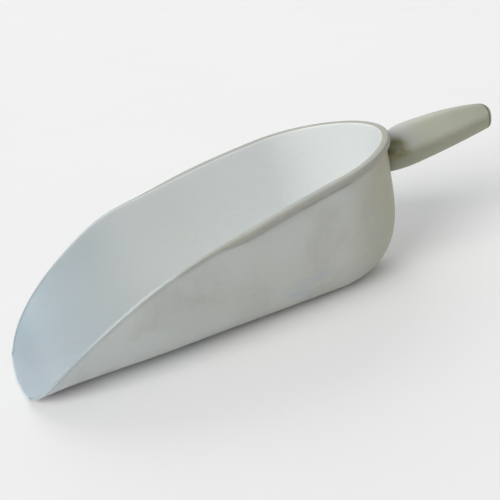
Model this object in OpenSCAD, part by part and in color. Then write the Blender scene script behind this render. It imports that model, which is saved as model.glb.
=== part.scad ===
// Feed scoop: an open, boat-shaped moulded bowl with a rolled rim bead, and a hollow tapered grip
// that slides over a round tang on the bowl's back wall. A screw and washer inside the grip hold it
// on the tang, and a plug closes the grip's end.
// The lip points along -X and the grip along +X. The bowl stands on its flat keel at Z = 0.
// The origin is below the middle of the whole scoop.

/* [Bowl outline] */
// Length of the bowl from the lip to the back wall
bowl_len = 290; // [270:1:310]
// Height of the rim at the back wall
bowl_h = 102.4; // [96:0.1:110]
// Half width of the trough halfway along, before the walls flare
half_w_mid = 58.5; // [54:0.1:62]
// How much narrower the trough gets from lip to back, as a share of its width
back_taper = 0.357; // [0.3:0.005:0.45]
// How much the two ends pull in, as a share of the width
end_pinch = 0.085; // [0.05:0.001:0.12]
// Share of the length taken by the straight trough before the back rounds off
trough_share = 0.766; // [0.73:0.001:0.8]
// How early the rim climbs from the lip: a smaller value climbs sooner
rim_rise = 0.364; // [0.25:0.001:0.6]
// Width that each wall gains per millimetre of height
wall_flare = 0.0031; // [0.002:0.0001:0.0045]
// Forward lean of the back wall per millimetre of height
back_lean = 0.09; // [0.05:0.001:0.1]
// How far the middle of the lip bulges forward
lip_bulge = 3.4; // [1:0.1:5]
// How much the lip spreads at its very end, as a share of the width
lip_spread = 0.112; // [0:0.001:0.13]
// How much higher the rim stands at its crest, a third of the way from the lip
crest_h = 2.4; // [0:0.1:3]
// How much wider the bowl is at the crest, as a share of the width
crest_w = 0.037; // [0:0.001:0.05]

/* [Bowl wall] */
// Half width of the flat keel that the scoop stands on
keel_half_w = 18; // [15:0.1:20]
// Height at which the side walls become straight
side_round_h = 80.3; // [70:0.1:90]
// Wall thickness at the lip
lip_t = 1.6; // [1.4:0.1:1.8]
// Wall thickness over the rest of the bowl
wall_t = 2.6; // [2.2:0.1:3]
// Height of the rim above the table at the lip
lip_h = 2.9; // [2.5:0.1:3.2]

/* [Rim bead] */
// How far the bead stands out past the wall
bead_out = 3; // [2:0.1:4]
// Height of the bead at the back
bead_h = 4.8; // [4:0.1:6]
// Share of the length at which the bead starts to grow
bead_start = 0.4; // [0.3:0.01:0.5]
// Share of the length at which the bead is full
bead_full = 0.53; // [0.51:0.01:0.65]

/* [Grip] */
// Length of the grip without its end plug
grip_len = 89.5; // [84:0.5:98]
// Height of the grip's top above its axis at the thick end
grip_top = 15; // [14:0.1:16]
// Depth of the grip's underside below its axis at the thick end
grip_under = 16.1; // [15:0.1:17]
// Half width of the grip at the thick end
grip_half_w = 16; // [15:0.1:17]
// Height of the grip's axis where it meets the back wall
grip_z = 79.5; // [78:0.5:81]
// Thickness of the end plug's flange
plug_t = 3; // [2:0.1:4]

/* [Fixing] */
// Radius of the round tang that carries the grip
tang_r = 6; // [5.5:0.1:6.2]
// How far the tang's middle line is below the grip's axis
tang_drop = 5; // [4.8:0.1:5.6]
// Length of the socket in the grip that takes the tang
socket_len = 38; // [32:1:44]
// Radius of the screw's shank
screw_r = 2.1; // [1.8:0.1:2.3]
// Radius of the screw's head
head_r = 4.5; // [4:0.1:5]
// Radius of the washer
washer_r = 6; // [5.5:0.1:6.5]
// Thickness of the washer
washer_t = 1; // [0.8:0.1:1.4]

/* [Hidden] */
// Powers that set how full the wall's curve is: up the side, across the floor, and around the back
side_power = 3.72;
floor_power = 2.02;
back_power = 2.01;
// Share of the length over which the lip's bulge and spread fade out, and over which the wall reaches its
// full thickness
lip_fade = 0.12;
thicken_fade = 0.3;
// Place and reach of the rim's crest, as shares of the length
crest_at = 0.3;
crest_reach = 0.102;
// Height of the edge band and its rounding where the rim has no bead, and what the full bead adds to that
plain_band = 1;
plain_round = 0.4;
bead_round = 0.9;
// Height of the step from the wall out to the bead's underside, and how far out that step reaches, as a share
bead_step = 0.5;
under_share = 0.8;
// Share of a rounding that its one facet spans
facet_share = 0.7;
// Rows up the wall, columns along each side and around half of the back
rows = 10;
side_cols = 24;
back_cols = 12;
lean_angle = atan(back_lean);
// The flat seat for the grip: how far it stands off the back wall, and how deep its pad is
seat_off = 1;
pad_depth = 3;
seat_x = bowl_len - back_lean * grip_z + seat_off;
// The grip narrows over neck_len where it meets the seat
neck_len = 23;
neck_top = 12;
neck_under = 2;
neck_side = 3;
// Share by which the grip's top, underside and sides have tapered at its end
top_taper = 0.57;
under_taper = 0.25;
side_taper = 0.44;
grip_full = grip_len + plug_t;
scoop_end_x = seat_x + grip_full * cos(lean_angle);
mid_x = (scoop_end_x - lip_bulge) / 2;
// Inside of the grip: the socket, a web for the washer, then a hollow core out to the plug
web_t = 4;
core_start = socket_len + web_t;
grip_wall = 2.6;
spigot_len = 9;
// Clearances: the tang in its socket, the tang's end, the plug in the core, and the screw in the web
tang_clear = 0.05;
tang_gap = 0.3;
plug_clear = 0.05;
hole_clear = 0.5;
// The screw's bite into the tang, and the room left in the pilot hole beyond its tip
head_h = 3;
screw_bite = 18;
tip_room = 2;
eps = 0.01;
$fn = 48;

function clip(v) = min(1, max(0, v));
function smooth(v) = clip(v) * clip(v) * (3 - 2 * clip(v));
// How near share s is to the rim's crest, then the height of the rim at share s
function crest(s) = exp(-pow((s - crest_at) / crest_reach, 2));
function rim_z(s) = lip_h + (bowl_h - lip_h) * (1 + rim_rise) * s / (s + rim_rise) + crest_h * crest(s);
// How near share s is to the lip, then the half width of the trough at share s
function lip_near(s) = pow(clip(1 - s / lip_fade), 2);
function half_w(s) =
    half_w_mid * (
        1 - back_taper * (s - 0.5) - end_pinch * 4 * pow(s - 0.5, 2)
        + lip_spread * lip_near(s) + crest_w * crest(s)
    );
function wall_at(s) = lip_t + (wall_t - lip_t) * clip(s / thicken_fade);
function bead_ramp(s) = smooth((s - bead_start) / (bead_full - bead_start));
// How far out the wall is at height z, from 0 on the floor to 1 where the wall is straight;
// off moves the wall inward
function fullness(z, off) = 1 - pow(clip((side_round_h - z) / (side_round_h - off)), side_power);
function flare(z) = 1 + wall_flare * z;
function lean(x, z) = -back_lean * z * clip((x / bowl_len - 0.5) / 0.5);

// A point on the wall of the straight trough
function trough_y(s, z, off) =
    (keel_half_w + (half_w(s) - off - keel_half_w) * pow(fullness(z, off), 1 / floor_power)) * flare(z);
lip_half_w = trough_y(0, lip_h, 0);
function bulge(s, y) = lip_bulge * (1 - pow(clip(abs(y) / lip_half_w), 2)) * lip_near(s);
function trough_pt(side, s, y, z) =
    [bowl_len * s - bulge(s, y) + lean(bowl_len * s, z), side * y, z];

// A point on the wall of the rounded back; turn runs from 0 on the near side to 180 on the far side
function back_x(turn, z, off) =
    bowl_len * trough_share + keel_half_w * sin(turn)
    + (bowl_len * (1 - trough_share) - off - keel_half_w) * pow(fullness(z, off), 1 / back_power) * sin(turn);
function back_y(turn, z, off) =
    (keel_half_w * abs(cos(turn)) + (half_w(back_x(turn, z, off) / bowl_len) - off - keel_half_w)
    * pow(fullness(z, off) * pow(cos(turn), 2), 1 / floor_power)) * flare(z);
function back_pt(turn, z, off) =
    let (x = back_x(turn, z, off), side = turn < 90 ? -1 : 1)
    [x + lean(x, z), side * back_y(turn, z, off), z];

// A column is [kind, side, share or turn]: kind 0 is a rib of the trough, kind 1 is a rib of the back
cols = concat(
    [for (i = [0 : side_cols - 1]) [0, -1, trough_share * pow(i / side_cols, 1.6)]],
    [for (k = [0 : 2 * back_cols]) [1, 0, 90 * k / back_cols]],
    [for (i = [side_cols - 1 : -1 : 0]) [0, 1, trough_share * pow(i / side_cols, 1.6)]]
);

function col_pt(c, z, off) =
    c[0] == 0 ? trough_pt(c[1], c[2], trough_y(c[2], z, off), z) : back_pt(c[2], z, off);
function col_out(c) =
    c[0] == 0 ? [0, c[1], 0] : [sin(c[2]), -cos(c[2]), 0];
function col_share(c) =
    c[0] == 0 ? c[2] : back_x(c[2], side_round_h, 0) / bowl_len;
// Middle of the floor below a column
function col_mid(c, z) =
    c[0] == 0 ? trough_pt(0, c[2], 0, z) : [bowl_len * trough_share + lean(bowl_len * trough_share, z), 0, z];

// One closed rib: up the outside, around the rim, and down the inside
function rib(c) =
    let (
        s = col_share(c),
        top = rim_z(s),
        t = wall_at(s),
        ramp = bead_ramp(s),
        out = bead_out * ramp,
        tall = plain_band + (bead_h - plain_band) * ramp,
        edge = plain_round + bead_round * ramp,
        n = col_out(c),
        outer_top = top - tall - bead_step,
        inner_top = top - 2 * edge
    )
    concat(
        [col_mid(c, 0)],
        [for (j = [0 : rows]) col_pt(c, outer_top * pow(j / rows, 2), 0)],
        [
            col_pt(c, top - tall, 0) + n * out * under_share,
            col_pt(c, top - tall + edge, 0) + n * out,
            col_pt(c, top - edge, 0) + n * out,
            col_pt(c, top, 0) + n * (out - edge * facet_share),
            col_pt(c, top, t) + n * edge * facet_share,
            col_pt(c, top - edge, t)
        ],
        [for (j = [rows : -1 : 0]) col_pt(c, t + (inner_top - t) * pow(j / rows, 2), t)],
        [col_mid(c, t)]
    );

rib_n = 2 * (rows + 2) + 6;
col_n = len(cols);
bowl_pts = [for (c = cols) each rib(c)];
skin_tris = [
    for (c = [0 : col_n - 2], p = [0 : rib_n - 2])
        let (a = c * rib_n + p, b = a + rib_n)
        each [[a, a + 1, b], [a + 1, b + 1, b]]
];
// The lip's edge closes the first and the last rib
lip_tris = [
    for (p = [0 : rib_n / 2 - 2])
        let (q = rib_n - 1 - p, far = (col_n - 1) * rib_n)
        each [
            [p, q, p + 1],
            [p + 1, q, q - 1],
            [far + p, far + p + 1, far + q],
            [far + p + 1, far + q - 1, far + q]
        ]
];
function area2(f) = norm(cross(bowl_pts[f[1]] - bowl_pts[f[0]], bowl_pts[f[2]] - bowl_pts[f[0]]));
// Triangles with no area, where points meet on the keel's middle line, are left out
no_area = 0.0001;
bowl_tris = [for (f = concat(skin_tris, lip_tris)) if (area2(f) > no_area) f];

// Grip sections: distances from the axis at u along it
function neck(u) = pow(clip(1 - u / neck_len), 2);
function grip_up(u) = grip_top * (1 - top_taper * pow(u / grip_full, 3)) - neck_top * neck(u);
function grip_down(u) = grip_under * (1 - under_taper * pow(u / grip_full, 2)) - neck_under * neck(u);
function grip_side(u) = grip_half_w * (1 - side_taper * pow(u / grip_full, 2)) - neck_side * neck(u);
// Rounded-oval section at u, pulled in by shrink all round
section_n = 36;
section_power = 0.87;
function signed_pow(v) = sign(v) * pow(abs(v), section_power);
function section(u, shrink) = [
    for (k = [0 : section_n - 1])
        let (a = 360 * k / section_n, up = (a < 180 ? grip_up(u) : grip_down(u)) - shrink)
        [u, (grip_side(u) - shrink) * signed_pow(cos(a)), up * signed_pow(sin(a))]
];

// A solid through a list of sections, [position, shrink] each
module loft(stations) {
    pts = [for (s = stations) each section(s[0], s[1])];
    last = (len(stations) - 1) * section_n;
    sides = [
        for (i = [0 : len(stations) - 2], k = [0 : section_n - 1])
            let (a = i * section_n + k, b = i * section_n + (k + 1) % section_n)
            each [[a, a + section_n, b], [b, a + section_n, b + section_n]]
    ];
    polyhedron(
        points = pts,
        faces = concat(
            sides,
            [[for (k = [0 : section_n - 1]) k]],
            [[for (k = [section_n - 1 : -1 : 0]) last + k]]
        )
    );
}

// Puts a child into the scoop's frame
module in_frame() {
    translate([-mid_x, 0, 0]) children();
}

// Puts a child, built along +X from the seat, onto the leaning back wall
module on_seat() {
    in_frame() translate([seat_x, 0, grip_z]) rotate([0, -lean_angle, 0]) children();
}

// A cylinder along the tang's middle line
module along(from, to, r) {
    translate([from, 0, -tang_drop]) rotate([0, 90, 0]) cylinder(h = to - from, r = r);
}

module bowl() {
    tang_end = socket_len - tang_gap;
    color([0.83, 0.85, 0.84])
    difference() {
        union() {
            in_frame() polyhedron(points = bowl_pts, faces = bowl_tris);
            on_seat() translate([-pad_depth, 0, 0]) rotate([90, 0, 90])
                linear_extrude(height = pad_depth) polygon([for (p = section(0, 0)) [p[1], p[2]]]);
            on_seat() along(-pad_depth, tang_end, tang_r - tang_clear);
        }
        on_seat() along(socket_len - screw_bite - tip_room, socket_len, screw_r);
    }
}

module handle() {
    steps = 22;
    crowding = 1.15; // above 1, the sections crowd toward the neck
    color([0.80, 0.80, 0.76])
    on_seat() difference() {
        loft([for (i = [0 : steps]) [grip_len * pow(i / steps, crowding), 0]]);
        along(-1, socket_len, tang_r);
        along(socket_len - 1, core_start + 1, screw_r + hole_clear);
        loft([for (i = [0 : steps]) [core_start + (grip_len + eps - core_start) * i / steps, grip_wall]]);
    }
}

module handle_plug() {
    edge = 2.2;
    color([0.74, 0.74, 0.69])
    on_seat() union() {
        loft(concat(
            [[grip_len, 0]],
            [for (a = [0 : 15 : 90]) [grip_full - edge * (1 - sin(a)), edge * (1 - cos(a))]]
        ));
        loft([
            [grip_len - spigot_len, grip_wall + plug_clear],
            [grip_len + 1, grip_wall + plug_clear]
        ]);
    }
}

// Points along -X into the tang, with its head toward the plug
module fixing_screw() {
    head_at = core_start + washer_t;
    tip_at = socket_len - screw_bite;
    tip_len = 3;
    slot_w = 1;
    slot_len = 5.2;
    slot_depth = 1.6;
    color([0.72, 0.73, 0.74])
    on_seat() translate([0, 0, -tang_drop]) difference() {
        rotate([0, 90, 0]) rotate_extrude() polygon(concat(
            [[0, tip_at], [screw_r / 2, tip_at], [screw_r, tip_at + tip_len], [screw_r, head_at]],
            [for (a = [0 : 15 : 75]) [head_r * cos(a), head_at + head_h * sin(a)]],
            [[0, head_at + head_h]]
        ));
        for (a = [45, 135])
            rotate([a, 0, 0]) translate([head_at + head_h - slot_depth, -slot_w / 2, -slot_len / 2])
                cube([head_h, slot_w, slot_len]);
    }
}

module screw_washer() {
    color([0.70, 0.71, 0.72])
    on_seat() difference() {
        along(core_start, core_start + washer_t, washer_r);
        along(core_start - 1, core_start + washer_t + 1, screw_r + hole_clear);
    }
}

bowl();
handle();
handle_plug();
fixing_screw();
screw_washer();
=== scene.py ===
"""Looks for the feed scoop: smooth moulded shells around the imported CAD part, in metres, in its frame."""

import math

import bmesh
import bpy
import numpy as np
from mathutils import Matrix, Vector


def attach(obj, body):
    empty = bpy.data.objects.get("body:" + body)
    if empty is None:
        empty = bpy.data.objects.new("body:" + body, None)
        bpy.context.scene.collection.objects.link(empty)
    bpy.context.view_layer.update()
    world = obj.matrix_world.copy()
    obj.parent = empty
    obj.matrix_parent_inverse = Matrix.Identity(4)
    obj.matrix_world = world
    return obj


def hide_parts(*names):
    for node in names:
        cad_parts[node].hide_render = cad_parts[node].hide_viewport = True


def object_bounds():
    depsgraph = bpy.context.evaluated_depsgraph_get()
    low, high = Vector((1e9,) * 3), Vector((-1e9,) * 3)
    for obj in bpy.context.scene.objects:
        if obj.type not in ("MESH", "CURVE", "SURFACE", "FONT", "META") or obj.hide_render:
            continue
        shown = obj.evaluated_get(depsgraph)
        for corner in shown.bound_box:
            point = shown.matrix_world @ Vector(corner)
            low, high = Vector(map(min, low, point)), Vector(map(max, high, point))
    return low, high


MM = 0.001

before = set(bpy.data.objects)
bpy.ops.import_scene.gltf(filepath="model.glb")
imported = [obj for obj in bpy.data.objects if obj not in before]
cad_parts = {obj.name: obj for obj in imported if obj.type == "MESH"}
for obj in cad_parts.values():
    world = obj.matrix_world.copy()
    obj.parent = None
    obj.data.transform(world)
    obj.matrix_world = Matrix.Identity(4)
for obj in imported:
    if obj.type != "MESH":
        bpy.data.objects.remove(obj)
cad_low, cad_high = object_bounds()

# ---------------------------------------- the bowl's rules, in millimetres, as in the CAD
BOWL_LEN = 290.0
BOWL_H = 102.4
HALF_W_MID = 58.5
BACK_TAPER = 0.357
END_PINCH = 0.085
TROUGH_SHARE = 0.766
RIM_RISE = 0.364
WALL_FLARE = 0.0031
BACK_LEAN = 0.09
LIP_BULGE = 3.4
LIP_SPREAD = 0.112
CREST_H = 2.4
CREST_W = 0.037
CREST_AT = 0.3
CREST_REACH = 0.102
KEEL_HALF_W = 18.0
SIDE_ROUND_H = 80.3
LIP_T = 1.6
WALL_T = 2.6
LIP_H = 2.9
BEAD_OUT = 3.0
BEAD_H = 4.8
BEAD_START = 0.40
BEAD_FULL = 0.53
SIDE_POWER = 3.72
FLOOR_POWER = 2.02
BACK_POWER = 2.01
LIP_FADE = 0.12
THICKEN_FADE = 0.3
PLAIN_BAND = 1.0

# ---------------------------------------- the grip's rules
GRIP_LEN = 89.5
PLUG_T = 3.0
GRIP_FULL = GRIP_LEN + PLUG_T
GRIP_TOP = 15.0
GRIP_UNDER = 16.1
GRIP_HALF_W = 16.0
GRIP_Z = 79.5
SEAT_OFF = 1.0
NECK_LEN = 23.0
NECK_TOP = 12.0
NECK_UNDER = 2.0
NECK_SIDE = 3.0
TOP_TAPER = 0.57
UNDER_TAPER = 0.25
SIDE_TAPER = 0.44
SECTION_POWER = 0.87
TANG_R = 5.95
TANG_DROP = 5.0
SOCKET_R = 6.0
SOCKET_LEN = 38.0
TANG_END = 37.7
PILOT_START = 18.0
SCREW_R = 2.1
WEB_HOLE_R = 2.6
CORE_START = 42.0
GRIP_WALL = 2.6
SPIGOT_LEN = 9.0
PLUG_CLEAR = 0.05

# ---------------------------------------- small edges, in millimetres
# the rim's three radii: each at the lip, and what the full bead adds to it
RIM_EDGE = (0.45, 0.85)
RIM_LOW_EDGE = (0.15, 0.75)
RIM_FILLET = (0.15, 0.25)
# the flat left between the upper corners, and the least step that the lower corner is sized by
RIM_FLAT = 0.05
LEAST_OUT = 0.3
# the seat pad: how far it goes into the wall, and its outer edge
PAD_DEPTH = 3.0
PAD_EDGE = 0.2
PAD_EDGE_SLOPE = 0.4
TANG_ROOT_R = 4.0
TANG_ROOT_STEP = 0.02
# the tang's rounded tip: (back from its end, in from its side)
TANG_TIP = ((0.8, 0.0), (0.25, 0.2), (0.0, 0.7))
# chamfer at the mouths of the pilot hole and the socket
BORE_MOUTH = 0.4
SOCKET_STEP = 2.0
WEB_FACE_R = 6.0
GRIP_ROOT_EDGE = 0.5
SEAM_EDGE = 0.3
SPIGOT_CHAMFER = 0.8
PLUG_EDGE = 2.2
PLUG_FACE_STEPS = (0.8, 1.8, 3.0)

# ---------------------------------------- how finely the shells are drawn
WALL_ROWS = 44
WALL_SAMPLES = 240
FLOOR_SAMPLES = 12
ARC_ROWS = 6
SIDE_COLS = 84
SIDE_CROWDING = 1.5
BACK_COLS = 60
LIP_ROUND = 6
RING_N = 96
EDGE_RINGS = 7
SEAM_EDGE_RINGS = 4
PLUG_EDGE_RINGS = 12
GRIP_RINGS = 60
HOLLOW_RINGS = 24
SOCKET_RINGS = 12
# in metres: how close points are merged, how thin a face is dropped,
# and how far inside the CAD's box the points stay
MERGE = 1e-6
SLIVER = 1e-7
BOX_INSET = 2e-6

LEAN = math.atan(BACK_LEAN)
SEAT_X = BOWL_LEN - BACK_LEAN * GRIP_Z + SEAT_OFF
MID_X = (SEAT_X + GRIP_FULL * math.cos(LEAN) - LIP_BULGE) / 2


def clip(v):
    return np.clip(v, 0.0, 1.0)


def smooth(v):
    v = clip(v)
    return v * v * (3 - 2 * v)


def crest(s):
    return np.exp(-(((s - CREST_AT) / CREST_REACH) ** 2))


def rim_z(s):
    return LIP_H + (BOWL_H - LIP_H) * (1 + RIM_RISE) * s / (s + RIM_RISE) + CREST_H * crest(s)


def lip_near(s):
    return clip(1 - s / LIP_FADE) ** 2


def half_w(s):
    share = 1 - BACK_TAPER * (s - 0.5) - END_PINCH * 4 * (s - 0.5) ** 2 + LIP_SPREAD * lip_near(s)
    return HALF_W_MID * (share + CREST_W * crest(s))


def wall_at(s):
    return LIP_T + (WALL_T - LIP_T) * clip(s / THICKEN_FADE)


def fullness(z, off):
    return 1 - clip((SIDE_ROUND_H - z) / (SIDE_ROUND_H - off)) ** SIDE_POWER


def lean(x, z):
    return -BACK_LEAN * z * clip((x / BOWL_LEN - 0.5) / 0.5)


def trough_y(s, z, off):
    beyond_keel = (half_w(s) - off - KEEL_HALF_W) * fullness(z, off) ** (1 / FLOOR_POWER)
    return (KEEL_HALF_W + beyond_keel) * (1 + WALL_FLARE * z)


LIP_HALF_W = float(trough_y(0.0, LIP_H, 0.0))


def column_points(col, z, off):
    """Points on the wall of one column, at heights z, with the wall moved in by off.

    A column is ("trough", side, share of the length) or ("back", 0, degrees round from the near side).
    """
    kind, side, place = col
    if kind == "trough":
        y = trough_y(place, z, off)
        x = BOWL_LEN * place - bulge(place, y) + lean(BOWL_LEN * place, z)
        return np.stack([x, side * y, z], -1)
    turn = math.radians(place)
    full = fullness(z, off)
    x = BOWL_LEN * TROUGH_SHARE + KEEL_HALF_W * math.sin(turn)
    x = x + (BOWL_LEN * (1 - TROUGH_SHARE) - off - KEEL_HALF_W) * full ** (1 / BACK_POWER) * math.sin(turn)
    spread = (full * math.cos(turn) ** 2) ** (1 / FLOOR_POWER)
    y = KEEL_HALF_W * abs(math.cos(turn)) + (half_w(x / BOWL_LEN) - off - KEEL_HALF_W) * spread
    y = y * (1 + WALL_FLARE * z)
    return np.stack([x + lean(x, z), (-1 if place < 90 else 1) * y, z], -1)


def bulge(s, y):
    return LIP_BULGE * (1 - clip(np.abs(y) / LIP_HALF_W) ** 2) * lip_near(s)


def column_share(col):
    kind, _, place = col
    if kind == "trough":
        return place
    turn = math.radians(place)
    return (BOWL_LEN * TROUGH_SHARE + BOWL_LEN * (1 - TROUGH_SHARE) * math.sin(turn)) / BOWL_LEN


def column_out(col):
    kind, side, place = col
    if kind == "trough":
        return np.array([0.0, side, 0.0])
    turn = math.radians(place)
    return np.array([math.sin(turn), -math.cos(turn), 0.0])


def column_mid(col, z):
    kind, _, place = col
    if kind == "trough":
        return np.array([BOWL_LEN * place - bulge(place, 0.0), 0.0, z])
    x = BOWL_LEN * TROUGH_SHARE
    return np.array([x + lean(x, z), 0.0, z])


def resample(path, count):
    """The same path with count points evenly spaced along it."""
    step = np.linalg.norm(np.diff(path, axis=0), axis=1)
    along = np.concatenate([[0], np.cumsum(step)])
    want = np.linspace(0, along[-1], count)
    return np.stack([np.interp(want, along, path[:, k]) for k in range(3)], -1)


def arc(centre, radius, start, stop):
    """Points of an arc in the rim's own plane: (out from the wall, up)."""
    return [
        (centre[0] + radius * math.cos(math.radians(a)), centre[1] + radius * math.sin(math.radians(a)))
        for a in np.linspace(start, stop, ARC_ROWS)
    ]


def bead_ramp(s):
    return smooth((s - BEAD_START) / (BEAD_FULL - BEAD_START))


def band_h(s):
    """Height of the band under the rim: a plain edge at the lip, the full bead at the back."""
    return PLAIN_BAND + (BEAD_H - PLAIN_BAND) * bead_ramp(s)


def rim_outline(t, ramp, tall):
    """The rim's outline from outside to inside, its fillet's radius and its upper corners' radius.

    The outline's points are (out from the wall, up from the rim line).
    """
    out = BEAD_OUT * ramp
    fillet = RIM_FILLET[0] + RIM_FILLET[1] * ramp
    edge = min(RIM_EDGE[0] + RIM_EDGE[1] * ramp, 0.5 * (t + out) - RIM_FLAT)
    low_r = min(RIM_LOW_EDGE[0] + RIM_LOW_EDGE[1] * ramp, 0.5 * max(out, LEAST_OUT))
    if ramp > 0:
        turns = np.linspace(0, math.pi / 2, ARC_ROWS)
        rim = [(fillet * (1 - math.cos(a)) * ramp, -tall - fillet * (1 - math.sin(a))) for a in turns]
        rim += arc((out - low_r, -tall + low_r), low_r, -90, 0)
    else:
        rim = [(0.0, -tall - fillet * (1 - v)) for v in np.linspace(0, 1, ARC_ROWS)]
        rim += [(0.0, -tall + low_r * v) for v in np.linspace(0.1, 1, ARC_ROWS)]
    rim += arc((out - edge, -edge), edge, 0, 90)
    rim += arc((-t + edge, -edge), edge, 90, 180)
    return rim, fillet, edge


def rib(col):
    """One rib of the bowl, from the keel up the outside, over the rim and down the inside."""
    s = column_share(col)
    top = float(rim_z(s))
    t = float(wall_at(s))
    tall = float(band_h(s))
    rim, fillet, edge = rim_outline(t, float(bead_ramp(s)), tall)
    outward = column_out(col)

    def wall(z_top, off):
        z = off + (z_top - off) * np.linspace(0, 1, WALL_SAMPLES) ** 2
        path = column_points(col, z, off)
        floor = np.linspace(column_mid(col, off), path[0], FLOOR_SAMPLES)[:-1]
        return resample(np.concatenate([floor, path]), WALL_ROWS)

    outside = wall(top - tall - fillet, 0.0)
    inside = wall(top - edge, t)[::-1]
    on_wall = [column_points(col, np.array([top + up]), 0.0)[0] for _, up in rim]
    over = np.array([point + outward * across for point, (across, _) in zip(on_wall, rim)])
    # the rim follows the inner wall on its inner side, so both walls keep their own slope
    shift = inside[0] - over[-1]
    over[-2 * ARC_ROWS:] += shift * np.linspace(0, 1, 2 * ARC_ROWS)[:, None]
    return np.concatenate([outside[:-1], over, inside[1:]])


def bowl_columns():
    """The columns from the near lip round the back to the far lip, closer together toward the lip."""
    first = 0.5 * LIP_T / BOWL_LEN
    shares = first + (TROUGH_SHARE - first) * (np.arange(SIDE_COLS) / SIDE_COLS) ** SIDE_CROWDING
    return (
        [("trough", -1, float(s)) for s in shares]
        + [("back", 0, 90.0 * k / BACK_COLS) for k in range(2 * BACK_COLS + 1)]
        + [("trough", 1, float(s)) for s in shares[::-1]]
    )


def to_mesh(name, verts, faces, material, marks=None):
    """A mesh object from points in the part's frame, in millimetres, held inside the CAD's box.

    marks holds values for each point, stored by name for the material to read.
    """
    co = np.asarray(verts, float) * MM
    co = np.clip(co, np.array(cad_low) + BOX_INSET, np.array(cad_high) - BOX_INSET)
    mesh = bpy.data.meshes.new(name)
    mesh.from_pydata([tuple(v) for v in co], [], faces)
    for mark, values in (marks or {}).items():
        layer = mesh.attributes.new(mark, "FLOAT", "POINT")
        layer.data.foreach_set("value", np.asarray(values, np.float32))
    bm = bmesh.new()
    bm.from_mesh(mesh)
    bmesh.ops.remove_doubles(bm, verts=bm.verts, dist=MERGE)
    bmesh.ops.dissolve_degenerate(bm, edges=bm.edges, dist=SLIVER)
    bmesh.ops.recalc_face_normals(bm, faces=bm.faces)
    bm.to_mesh(mesh)
    bm.free()
    mesh.polygons.foreach_set("use_smooth", [True] * len(mesh.polygons))
    mesh.materials.append(material)
    obj = bpy.data.objects.new(name, mesh)
    bpy.context.scene.collection.objects.link(obj)
    return obj


def grid_faces(cols, rows, wrap=False):
    """Quads between neighbouring columns of points; wrap closes each column on itself."""
    faces = []
    for c in range(cols - 1):
        for r in range(rows if wrap else rows - 1):
            a = c * rows + r
            b = c * rows + (r + 1) % rows
            faces.append((a, b, b + rows, a + rows))
    return faces


def lip_columns(base):
    """The lip's rounded edge: the end rib drawn in to its own middle line."""
    middle = (base + base[::-1]) / 2
    half_t = np.linalg.norm(base - middle, axis=1).clip(0, LIP_T / 2)
    forward = np.stack([-half_t, 0 * half_t, 0 * half_t], -1)
    turns = [math.radians(a) for a in np.linspace(90, 0, LIP_ROUND + 1)[:-1]]
    return [middle + (base - middle) * math.cos(a) + forward * math.sin(a) for a in turns]


def bowl_mesh():
    """The bowl's points and faces, and how far each point is below the rim's band: negative on the band."""
    places = bowl_columns()
    columns = [rib(c) for c in places]
    shares = np.array([column_share(c) for c in places])
    bands = np.pad(rim_z(shares) - band_h(shares), LIP_ROUND, mode="edge")
    columns = lip_columns(columns[0]) + columns + lip_columns(columns[-1])[::-1]
    rows = len(columns[0])
    verts = np.concatenate(columns)
    below = np.repeat(bands, rows) - verts[:, 2]
    return verts - [MID_X, 0, 0], grid_faces(len(columns), rows), below


def on_seat(points):
    """Points built along +X from the grip's seat, put onto the leaning back wall."""
    p = np.asarray(points, float)
    c, s = math.cos(LEAN), math.sin(LEAN)
    x = p[:, 0] * c - p[:, 2] * s + SEAT_X - MID_X
    z = p[:, 0] * s + p[:, 2] * c + GRIP_Z
    return np.stack([x, p[:, 1], z], -1)


def neck(u):
    return clip(1 - u / NECK_LEN) ** 2


def powered(v):
    return np.sign(v) * np.abs(v) ** SECTION_POWER


def section(u, shrink):
    """One ring of the grip at u along it, pulled in by shrink."""
    a = np.linspace(0, 2 * math.pi, RING_N, endpoint=False)
    up = GRIP_TOP * (1 - TOP_TAPER * (u / GRIP_FULL) ** 3) - NECK_TOP * neck(u) - shrink
    down = GRIP_UNDER * (1 - UNDER_TAPER * (u / GRIP_FULL) ** 2) - NECK_UNDER * neck(u) - shrink
    across = GRIP_HALF_W * (1 - SIDE_TAPER * (u / GRIP_FULL) ** 2) - NECK_SIDE * neck(u) - shrink
    reach = np.where(np.sin(a) >= 0, up, down)
    return np.stack([np.full(RING_N, float(u)), across * powered(np.cos(a)), reach * powered(np.sin(a))], -1)


def ring(u, r):
    """A round ring about the tang's middle line."""
    a = np.linspace(0, 2 * math.pi, RING_N, endpoint=False)
    return np.stack([np.full(RING_N, float(u)), r * np.cos(a), r * np.sin(a) - TANG_DROP], -1)


def rounded(u_face, direction, radius, count=EDGE_RINGS):
    """Rings that round an edge; direction is 1 on an end face looking out and -1 on one looking back."""
    turns = [math.radians(a) for a in np.linspace(0, 90, count)]
    return [
        section(u_face - direction * radius * (1 - math.sin(a)), radius * (1 - math.cos(a)))
        for a in turns
    ]


def lofted(rings, closed=False):
    """A skin through rings; closed joins the last ring to the first, otherwise both ends are capped."""
    faces = grid_faces(len(rings), RING_N, wrap=True)
    last = (len(rings) - 1) * RING_N
    if closed:
        faces += [(last + r, last + (r + 1) % RING_N, (r + 1) % RING_N, r) for r in range(RING_N)]
    else:
        faces.append(tuple(range(RING_N)))
        faces.append(tuple(last + r for r in reversed(range(RING_N))))
    return np.concatenate(rings), faces


def joined(*skins):
    """Several skins as one list of points and one of faces."""
    faces, start = [], 0
    for points, own in skins:
        faces += [tuple(i + start for i in face) for face in own]
        start += len(points)
    return np.concatenate([points for points, _ in skins]), faces


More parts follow.
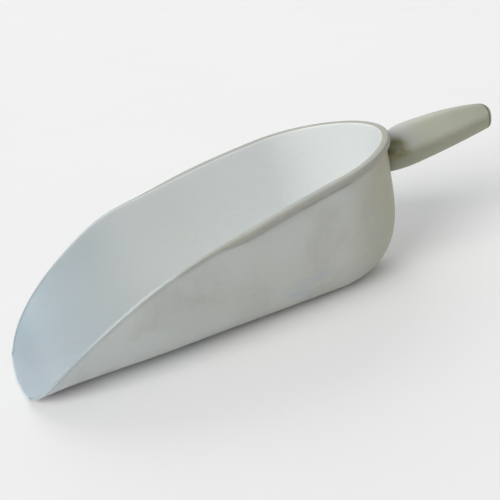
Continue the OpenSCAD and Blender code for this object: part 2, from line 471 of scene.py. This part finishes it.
# the middle line that the bowl's inner points face: its back end in millimetres and its height in metres,
# then where the change from outside to inside starts and how much turn it takes
HOLLOW_END = 200
HOLLOW_Z = 0.060
TURN_START = 0.1
TURN_OVER = 0.4


def mark_inside(obj):
    """Stores how much each point of the bowl faces its hollow: 1 inside, 0 outside and on the rim."""
    mesh = obj.data
    co = np.empty(len(mesh.vertices) * 3)
    no = np.empty(len(mesh.vertices) * 3)
    mesh.vertices.foreach_get("co", co)
    mesh.vertices.foreach_get("normal", no)
    co, no = co.reshape(-1, 3), no.reshape(-1, 3)
    hollow_x = np.minimum(co[:, 0], (HOLLOW_END - MID_X) * MM)
    hollow = np.stack([hollow_x, 0 * co[:, 0], np.full(len(co), HOLLOW_Z)], -1)
    towards = hollow - co
    towards /= np.maximum(np.linalg.norm(towards, axis=1), 1e-9)[:, None]
    facing = smooth(((towards * no).sum(1) + TURN_START) / TURN_OVER)
    layer = mesh.attributes.new("inside", "FLOAT", "POINT")
    layer.data.foreach_set("value", facing.astype(np.float32))


# ---------------------------------------- materials
class Nodes:
    """Small helpers for building a node material."""

    def __init__(self, name):
        self.mat = bpy.data.materials.new(name)
        self.mat.use_nodes = True
        self.tree = self.mat.node_tree
        self.tree.nodes.clear()
        out = self.tree.nodes.new("ShaderNodeOutputMaterial")
        self.bsdf = self.tree.nodes.new("ShaderNodeBsdfPrincipled")
        self.link(self.bsdf.outputs[0], out.inputs[0])
        self.coord = self.tree.nodes.new("ShaderNodeTexCoord").outputs["Object"]

    def link(self, a, b):
        self.tree.links.new(a, b)

    def put(self, socket, value):
        if isinstance(value, bpy.types.NodeSocket):
            self.link(value, socket)
        else:
            socket.default_value = value

    def moved(self, scale, turn=(0, 0, 0), shift=(0, 0, 0)):
        n = self.tree.nodes.new("ShaderNodeMapping")
        self.link(self.coord, n.inputs["Vector"])
        n.inputs["Location"].default_value = shift
        n.inputs["Rotation"].default_value = [math.radians(a) for a in turn]
        n.inputs["Scale"].default_value = scale
        return n.outputs[0]

    def noise(self, scale, detail=4.0, rough=0.55, distort=0.0, vector=None):
        n = self.tree.nodes.new("ShaderNodeTexNoise")
        self.link(vector if vector is not None else self.coord, n.inputs["Vector"])
        n.inputs["Scale"].default_value = scale
        n.inputs["Detail"].default_value = detail
        n.inputs["Roughness"].default_value = rough
        n.inputs["Distortion"].default_value = distort
        return n.outputs[0]

    def band(self, value, low, high, to_low=0.0, to_high=1.0, soft=False):
        """A ramp from to_low, where value is low, to to_high, where it is high."""
        n = self.tree.nodes.new("ShaderNodeMapRange")
        n.interpolation_type = "SMOOTHSTEP" if soft else "LINEAR"
        self.link(value, n.inputs["Value"])
        n.inputs["From Min"].default_value = low
        n.inputs["From Max"].default_value = high
        n.inputs["To Min"].default_value = to_low
        n.inputs["To Max"].default_value = to_high
        return n.outputs[0]

    def mark(self, name):
        """A value stored for each point of the mesh."""
        n = self.tree.nodes.new("ShaderNodeAttribute")
        n.attribute_name = name
        return n.outputs["Fac"]

    def both(self, *shares):
        """The product of several shares."""
        product = shares[0]
        for share in shares[1:]:
            product = self.math("MULTIPLY", product, share)
        return product

    def math(self, op, a, b, clamp=False):
        n = self.tree.nodes.new("ShaderNodeMath")
        n.operation = op
        n.use_clamp = clamp
        self.put(n.inputs[0], a)
        self.put(n.inputs[1], b)
        return n.outputs[0]

    def mix(self, share, a, b):
        """Colour a turning into colour b; inputs 6 and 7 are the node's two colours."""
        n = self.tree.nodes.new("ShaderNodeMix")
        n.data_type = "RGBA"
        self.put(n.inputs[0], share)
        self.put(n.inputs[6], a)
        self.put(n.inputs[7], b)
        return n.outputs[2]

    def axes(self):
        n = self.tree.nodes.new("ShaderNodeSeparateXYZ")
        self.link(self.coord, n.inputs[0])
        return n.outputs

    def bump(self, height, strength, distance, normal=None):
        n = self.tree.nodes.new("ShaderNodeBump")
        self.link(height, n.inputs["Height"])
        n.inputs["Strength"].default_value = strength
        n.inputs["Distance"].default_value = distance
        if normal is not None:
            self.link(normal, n.inputs["Normal"])
        return n.outputs[0]


# how much darker a pigment is than the colour it shows as under the lights
PIGMENT = 0.95


def rgb(r, g, b):
    """A colour written as it looks under the lights, from 0 to 255, turned from sRGB to linear."""
    shown = [v * PIGMENT / 255 for v in (r, g, b)]
    lin = [v / 12.92 if v <= 0.04045 else ((v + 0.055) / 1.055) ** 2.4 for v in shown]
    return (*lin, 1.0)


def scratches(n, turn, across, along, low, high, shift=(0, 0, 0)):
    """Fine hairlines in one direction, as a share from 0 to 1."""
    place = n.moved((along, across, across), turn, shift)
    lines = n.noise(1.0, detail=2.0, rough=0.4, distort=0.15, vector=place)
    return n.band(lines, low, high)


# stains and wear, and painted light and shade, as they look under the lights
LIP_COOL_LIGHT = rgb(189, 206, 217)
LIP_PAINTED_SHADE = rgb(170, 190, 204)
LOW_LIP_LIGHT = rgb(216, 215, 222)
# painted light: the pale inside
INSIDE_GLOW_LIGHT = rgb(215, 219, 219)
# painted warm shade on the back's outside
BACK_WARM_SHADE = rgb(177, 176, 152)
BACK_BLOTCH = rgb(168, 161, 128)
SMUDGED = rgb(172, 172, 167)
RIM_BACK_SHADE = rgb(160, 161, 152)
RIM_MIDDLE_HIGHLIGHT = rgb(182, 190, 191)
RIM_LIP_SHADE = rgb(150, 165, 173)
# painted shadow below the bead
BEAD_SHADOW = rgb(116, 115, 94)
# painted shade around the grip's seat
SEAT_SHADE = rgb(116, 112, 82)
BLUE_RUB = rgb(168, 181, 198)
GRIP_ROOT_TOP_LIGHT = rgb(188, 191, 189)
GRIP_UNDERSIDE_SHADE = rgb(149, 150, 128)
JOINT_SHADE = rgb(116, 112, 84)
# painted shadow on the grip by the wall
JOINT_SHADOW_PATCH = rgb(124, 115, 50)
SEAM_GRIME = rgb(84, 83, 66)


def wall_tint(n, colour, x, z, inside, outside):
    """Painted cool light toward the lip, painted shade inside the very lip, painted light low on the near
    outside, painted light that makes the inside pale, painted warm shade and blotches on the back's outside,
    smudged outside.
    """
    # painted cool light toward the lip, stronger inside
    cool = n.both(n.band(x, -0.03, -0.19, soft=True), n.band(inside, 0.0, 1.0, 0.25, 1.0))
    colour = n.mix(cool, colour, LIP_COOL_LIGHT)
    # painted shade: the inside of the very lip drawn darker and bluer
    very_lip = n.both(n.band(x, -0.160, -0.180, soft=True), inside)
    colour = n.mix(very_lip, colour, LIP_PAINTED_SHADE)
    # painted light: the near outside low by the lip drawn paler, where the floor's shadow falls
    low_lip = n.both(n.band(x, -0.11, -0.15, soft=True), n.band(z, 0.020, 0.004, soft=True), outside)
    colour = n.mix(n.both(low_lip, 0.8), colour, LOW_LIP_LIGHT)
    # painted light: the inside drawn pale, most toward the back, as if lit through the walls
    deep = n.band(x, -0.16, 0.0, 0.25, 1.0, soft=True)
    colour = n.mix(n.both(inside, deep), colour, INSIDE_GLOW_LIGHT)
    # painted warm shade: the outside of the back drawn darker and more olive
    at_back = n.band(x, 0.03, 0.09, soft=True)
    colour = n.mix(n.both(outside, at_back), colour, BACK_WARM_SHADE)
    high = n.band(z, 0.045, 0.085, soft=True)
    blotch = n.band(n.noise(32.0, detail=4.0, rough=0.6), 0.35, 0.62, 0.2, 1.0, soft=True)
    colour = n.mix(n.both(outside, at_back, high, blotch, 0.8), colour, BACK_BLOTCH)
    smudge = n.band(n.noise(15.0, detail=5.0, rough=0.65, distort=0.4), 0.50, 0.68, soft=True)
    return n.mix(n.both(outside, smudge, 0.5), colour, SMUDGED)


def rim_tint(n, colour, x, inside, outside, below):
    """The rim is painted in light and shade, darker than the wall with a painted highlight along its middle,
    and a painted shadow lies in the step below the bead.
    """
    outer_rim = n.math("MAXIMUM", n.band(inside, 0.97, 0.75), n.band(x, -0.07, -0.13))
    on_rim = n.both(n.band(below, 0.4, -0.4), outer_rim, n.band(below, -4.5, -1.5, 0.75, 0.95))
    # painted light and shade on the rim: darker at the back and at the lip, a painted highlight between
    rim_light_and_shade = n.mix(n.band(x, -0.05, -0.11, soft=True), RIM_BACK_SHADE, RIM_MIDDLE_HIGHLIGHT)
    rim_light_and_shade = n.mix(n.band(x, -0.12, -0.17, soft=True), rim_light_and_shade, RIM_LIP_SHADE)
    colour = n.mix(on_rim, colour, rim_light_and_shade)
    # painted shadow in the step below the bead, patchy, strongest toward the back
    under = n.both(n.band(below, -0.3, 0.4), n.band(below, 4.0, 0.8, soft=True))
    patchy = n.band(n.noise(60.0, detail=4.0), 0.35, 0.65, 0.5, 1.0)
    under = n.both(under, outside, patchy, n.band(x, -0.12, 0.05, 0.25, 0.85, soft=True))
    return n.mix(under, colour, BEAD_SHADOW)


def bowl_tint(n, colour):
    """Wall and rim colours, painted shade around the grip's seat and a bluish rub low on the near side."""
    x, y, z = n.axes()[:3]
    inside = n.mark("inside")
    outside = n.math("SUBTRACT", 1.0, inside)
    below = n.mark("below")
    colour = wall_tint(n, colour, x, z, inside, outside)
    colour = rim_tint(n, colour, x, inside, outside, below)
    # painted shade on the back wall around the grip's seat
    rise = n.math("SUBTRACT", z, GRIP_Z * MM)
    away = n.math("SQRT", n.math("ADD", n.both(y, y), n.both(rise, rise)), 0.0)
    around = n.both(n.band(away, 0.023, 0.013, soft=True), outside, n.band(x, 0.05, 0.07))
    colour = n.mix(n.both(around, 0.6), colour, SEAT_SHADE)
    streak = n.noise(1.0, detail=3.0, vector=n.moved((38.0, 150.0, 210.0), (0, 14, 0)))
    there = n.both(n.band(x, -0.022, -0.010, soft=True), n.band(x, 0.028, 0.014, soft=True))
    there = n.both(there, n.band(z, 0.014, 0.020, soft=True), n.band(z, 0.040, 0.030, soft=True))
    there = n.both(there, n.band(y, 0.0, -0.01))
    return n.mix(n.both(there, n.band(streak, 0.45, 0.62), 0.5), colour, BLUE_RUB)


def grip_tint(n, colour):
    """Painted light on the top near the wall, painted olive shade below and where the grip meets the wall, a
    painted olive shadow on the side by the wall, and grime in the plug's seam.
    """
    along = n.mark("along")
    height = n.mark("height")
    # painted light: the top of the grip near the wall drawn paler and greyer
    root_top = n.both(n.band(along, 38.0, 8.0, soft=True), n.band(height, -2.0, 4.0, soft=True))
    colour = n.mix(n.both(root_top, 0.8), colour, GRIP_ROOT_TOP_LIGHT)
    # painted shade: the lower half of the grip drawn darker and more olive
    under = n.band(height, 3.5, -3.5, soft=True)
    colour = n.mix(n.both(under, 0.9), colour, GRIP_UNDERSIDE_SHADE)
    joint = n.band(along, 7.0, 0.5, 0.0, 0.3, soft=True)
    colour = n.mix(joint, colour, JOINT_SHADE)
    # painted shadow of the bowl's back wall on the grip's side near the wall, olive, with ragged edges
    patch = n.both(n.band(along, 19.0, 9.0, soft=True), n.band(height, 12.0, 7.0, soft=True))
    patch = n.both(patch, n.band(height, -5.0, 0.0, soft=True))
    edges = n.band(n.noise(170.0, detail=4.0, rough=0.6), 0.35, 0.6, 0.55, 1.0)
    colour = n.mix(n.both(patch, edges, 0.85), colour, JOINT_SHADOW_PATCH)
    from_seam = n.math("ABSOLUTE", n.math("SUBTRACT", along, GRIP_LEN), 0.0)
    return n.mix(n.band(from_seam, 0.9, 0.25, 0.0, 0.8), colour, SEAM_GRIME)


def plastic(name, clean, aged, tint, rough=0.42):
    """Satin moulded plastic: slight yellowing, rubbed patches, hairline scratches and a faint skin."""
    n = Nodes(name)
    cloud = n.noise(9.0, detail=5.0, rough=0.6)
    colour = n.mix(n.band(cloud, 0.35, 0.7, soft=True), clean, aged)
    colour = tint(n, colour)
    speck = n.noise(420.0, detail=3.0, rough=0.6)
    colour = n.mix(n.band(speck, 0.56, 0.78, 0.0, 0.25), colour, aged)
    rub = n.band(n.noise(34.0, detail=6.0, rough=0.65, distort=0.6), 0.52, 0.72, 0.0, 1.0, soft=True)
    hair_a = scratches(n, (0, 0, 8), 900.0, 16.0, 0.62, 0.70)
    hair_b = scratches(n, (0, 14, -23), 1100.0, 22.0, 0.64, 0.71, (3, 1, 2))
    hair = n.math("MAXIMUM", hair_a, hair_b)
    hair = n.math("MULTIPLY", hair, n.band(n.noise(22.0, detail=3.0), 0.42, 0.62))
    scored = tuple(c * 1.12 for c in clean[:3]) + (1,)
    colour = n.mix(n.math("MULTIPLY", hair, 0.30), colour, scored)
    n.link(colour, n.bsdf.inputs["Base Color"])
    gloss = n.band(cloud, 0.3, 0.7, rough - 0.05, rough + 0.06)
    gloss = n.math("ADD", gloss, n.math("MULTIPLY", rub, 0.10))
    gloss = n.math("ADD", gloss, n.math("MULTIPLY", hair, 0.15), clamp=True)
    n.link(gloss, n.bsdf.inputs["Roughness"])
    waves = n.bump(n.noise(26.0, detail=2.0, rough=0.4), 0.25, 0.0012)
    skin = n.bump(n.noise(650.0, detail=4.0, rough=0.6), 0.10, 0.0002, waves)
    lines = n.bump(n.math("SUBTRACT", 0.0, hair), 0.35, 0.00012, skin)
    n.link(lines, n.bsdf.inputs["Normal"])
    n.bsdf.inputs["IOR"].default_value = 1.5
    n.bsdf.inputs["Subsurface Weight"].default_value = 0.8
    n.bsdf.inputs["Subsurface Radius"].default_value = (1.0, 0.95, 0.85)
    n.bsdf.inputs["Subsurface Scale"].default_value = 0.004
    n.mat.diffuse_color = clean
    return n.mat


def steel(name):
    """Zinc-plated steel with turned marks and dull patches."""
    n = Nodes(name)
    cloud = n.noise(260.0, detail=5.0, rough=0.6)
    plating = n.mix(n.band(cloud, 0.35, 0.7), rgb(196, 199, 202), rgb(158, 160, 158))
    n.link(plating, n.bsdf.inputs["Base Color"])
    marks = n.noise(1.0, detail=2.0, vector=n.moved((6000.0, 900.0, 900.0)))
    n.link(n.band(marks, 0.3, 0.7, 0.26, 0.48), n.bsdf.inputs["Roughness"])
    n.link(n.bump(marks, 0.15, 0.00005), n.bsdf.inputs["Normal"])
    n.bsdf.inputs["Metallic"].default_value = 1.0
    return n.mat


bowl_plastic = plastic("bowl_plastic", rgb(196, 199, 196), rgb(191, 192, 185), bowl_tint)
# the grip's and the plug's plastic is drawn darker and more olive than the bowl's: painted warm shade; the
# plug is darker still
grip_plastic = plastic("grip_plastic", rgb(186, 187, 171), rgb(178, 180, 160), grip_tint, 0.40)
plug_plastic = plastic("plug_plastic", rgb(166, 166, 150), rgb(158, 158, 140), grip_tint, 0.46)
fixing_steel = steel("fixing_steel")

# ---------------------------------------- pieces
verts, faces, below = bowl_mesh()
bowl = to_mesh("bowl_shell", verts, faces, bowl_plastic, {"below": below})
mark_inside(bowl)

# the oval seat pad and the tang that the grip slides over, moulded in one with the bowl
pad = [section(0.0, 0.0) + [-PAD_DEPTH, 0, 0], section(0.0, 0.0)]
pad += [section(0.0, PAD_EDGE) + [-PAD_EDGE * PAD_EDGE_SLOPE, 0, 0]]
tang = [ring(0.0, TANG_ROOT_R), ring(-TANG_ROOT_STEP, TANG_R)]
tang += [ring(TANG_END - back, TANG_R - inward) for back, inward in TANG_TIP]
tang += [ring(TANG_END, SCREW_R + BORE_MOUTH), ring(TANG_END - BORE_MOUTH, SCREW_R)]
tang += [ring(PILOT_START, SCREW_R)]
verts, faces = joined(lofted(pad), lofted(tang))
seat = to_mesh("bowl_tang", on_seat(verts), faces, bowl_plastic)

# the grip's outside from the wall to the plug, its hollow, its web with the screw's hole, and its socket
outer = rounded(0.0, -1, GRIP_ROOT_EDGE)[::-1]
body_from, body_to = GRIP_ROOT_EDGE, GRIP_LEN - SEAM_EDGE
outer += [section(body_from + (body_to - body_from) * (k / GRIP_RINGS), 0.0) for k in range(1, GRIP_RINGS)]
outer += rounded(GRIP_LEN, 1, SEAM_EDGE, SEAM_EDGE_RINGS)
inner = [section(u, GRIP_WALL) for u in np.linspace(GRIP_LEN, CORE_START, HOLLOW_RINGS)]
inner += [ring(CORE_START, WEB_FACE_R), ring(CORE_START, WEB_HOLE_R)]
inner += [ring(SOCKET_LEN, WEB_HOLE_R), ring(SOCKET_LEN, SOCKET_R)]
inner += [ring(u, SOCKET_R) for u in np.linspace(SOCKET_LEN - SOCKET_STEP, BORE_MOUTH, SOCKET_RINGS)]
inner += [ring(0.0, SOCKET_R + BORE_MOUTH)]
verts, faces = lofted(outer + inner, closed=True)
marks = {"along": verts[:, 0], "height": verts[:, 2]}
grip = to_mesh("grip_shell", on_seat(verts), faces, grip_plastic, marks)

# the plug's spigot, its flange and its rounded end
spigot_in = GRIP_WALL + PLUG_CLEAR
rings = [section(GRIP_LEN - SPIGOT_LEN, spigot_in + SPIGOT_CHAMFER)]
rings += [section(GRIP_LEN - SPIGOT_LEN + SPIGOT_CHAMFER, spigot_in), section(GRIP_LEN, spigot_in)]
rings += rounded(GRIP_LEN, -1, SEAM_EDGE, SEAM_EDGE_RINGS)[::-1]
rings += rounded(GRIP_FULL, 1, PLUG_EDGE, PLUG_EDGE_RINGS)
rings += [section(GRIP_FULL, PLUG_EDGE + step) for step in PLUG_FACE_STEPS]
verts, faces = lofted(rings)
marks = {"along": verts[:, 0], "height": verts[:, 2]}
plug = to_mesh("plug_cap", on_seat(verts), faces, plug_plastic, marks)

for piece, node, slot in (
    (bowl, "bowl", "bowl_plastic"),
    (seat, "bowl", "bowl_plastic"),
    (grip, "handle", "grip_plastic"),
    (plug, "handle_plug", "plug_plastic"),
):
    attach(piece, "root")
    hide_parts(node)

for node in ("fixing_screw", "screw_washer"):
    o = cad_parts[node]
    o.data.materials.clear()
    o.data.materials.append(fixing_steel)

# ---------------------------------------- stage, light and camera
FLOOR_REACH = 12.0
FLOOR_DROP = 0.0002
floor_mesh = bpy.data.meshes.new("floor")
corners = [(FLOOR_REACH * i, FLOOR_REACH * j, 0) for i, j in ((-1, -1), (1, -1), (1, 1), (-1, 1))]
floor_mesh.from_pydata(corners, [], [(0, 1, 2, 3)])
floor = bpy.data.objects.new("floor", floor_mesh)
floor.location.z = -FLOOR_DROP
bpy.context.scene.collection.objects.link(floor)
paper = Nodes("floor_paper")
paper_colour = paper.mix(paper.band(paper.noise(3.0), 0.4, 0.6), (0.94, 0.94, 0.94, 1), (0.95, 0.95, 0.95, 1))
paper.link(paper_colour, paper.bsdf.inputs["Base Color"])
paper.bsdf.inputs["Roughness"].default_value = 0.9
floor_mesh.materials.append(paper.mat)

world = bpy.data.worlds.new("studio")
world.use_nodes = True
background = world.node_tree.nodes["Background"]
background.inputs["Color"].default_value = (0.97, 0.99, 1.0, 1)
background.inputs["Strength"].default_value = 0.43
bpy.context.scene.world = world
bpy.context.scene.view_settings.view_transform = "Standard"


def sun_light(name, towards, strength, spread, colour=(1, 1, 1)):
    """A soft, even light that comes from the direction towards; spread is its angle in degrees."""
    data = bpy.data.lights.new(name, "SUN")
    data.energy = strength
    data.angle = math.radians(spread)
    data.color = colour
    o = bpy.data.objects.new(name, data)
    o.rotation_euler = Vector(towards).to_track_quat("Z", "Y").to_euler()
    bpy.context.scene.collection.objects.link(o)


sun_light("key", (-0.80, -0.38, 0.44), 2.52, 40.0, (1.0, 0.99, 0.97))
sun_light("behind", (0.15, 0.85, 0.50), 0.9, 60.0)

AZIMUTH, ELEVATION, ROLL = -19.5, 21.95, -10.23
DISTANCE = 0.6109
LENS = 62.8
AIM = Vector(((172.3 - MID_X) * MM, 0.0, 38.65 * MM))
azimuth, elevation, roll = (math.radians(v) for v in (AZIMUTH, ELEVATION, ROLL))
level = math.cos(elevation)
back = Vector((math.sin(azimuth) * level, -math.cos(azimuth) * level, math.sin(elevation)))
right = Vector((math.cos(azimuth), math.sin(azimuth), 0.0))
up = back.cross(right)
across = right * math.cos(roll) + up * math.sin(roll)
upright = up * math.cos(roll) - right * math.sin(roll)
camera_data = bpy.data.cameras.new("camera")
camera_data.sensor_width = 36.0
camera_data.lens = LENS
camera_data.clip_start = 0.01
camera_data.clip_end = 50.0
camera = bpy.data.objects.new("camera", camera_data)
axes = Matrix((across, upright, back)).transposed()
camera.matrix_world = Matrix.Translation(AIM + back * DISTANCE) @ axes.to_4x4()
bpy.context.scene.collection.objects.link(camera)
bpy.context.scene.camera = camera
